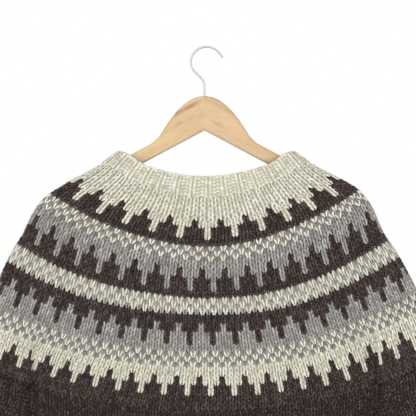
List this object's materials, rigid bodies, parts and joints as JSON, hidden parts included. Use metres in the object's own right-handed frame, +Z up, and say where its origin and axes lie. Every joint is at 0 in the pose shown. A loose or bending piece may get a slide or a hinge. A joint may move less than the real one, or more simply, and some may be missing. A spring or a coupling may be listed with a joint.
{
  "type": "fair isle sweater on a clothes hanger",
  "caption": "Bulky knitted pullover with a patterned circular yoke, ribbed neck, cuffs and hem, hanging on a flat wooden clothes hanger with a wire hook.",
  "frame": {"origin": "highest point of the inside of the hook, where a peg or rail carries the hanger", "axes": "+Z up, the garment's front faces -Y, +X towards the viewer's right when the front is seen"},
  "size_m": [0.788, 0.0885, 0.9068],
  "materials": {
    "cream_wool": "bulky heathered cream wool knit",
    "grey_wool": "bulky heathered grey wool knit",
    "brown_wool": "bulky heathered dark brown wool knit",
    "beech": "pale wood, lightly lacquered",
    "steel_wire": "bright plated steel wire"
  },
  "bodies": {
    "root": {"neckband": "cream_wool", "yoke": "grey_wool", "body": "brown_wool", "hem_band": "brown_wool", "left_sleeve": "brown_wool", "right_sleeve": "brown_wool", "left_cuff": "brown_wool", "right_cuff": "brown_wool", "hanger_left_arm": "beech", "hanger_right_arm": "beech", "hanger_hook": "steel_wire"}
  },
  "joints": []
}
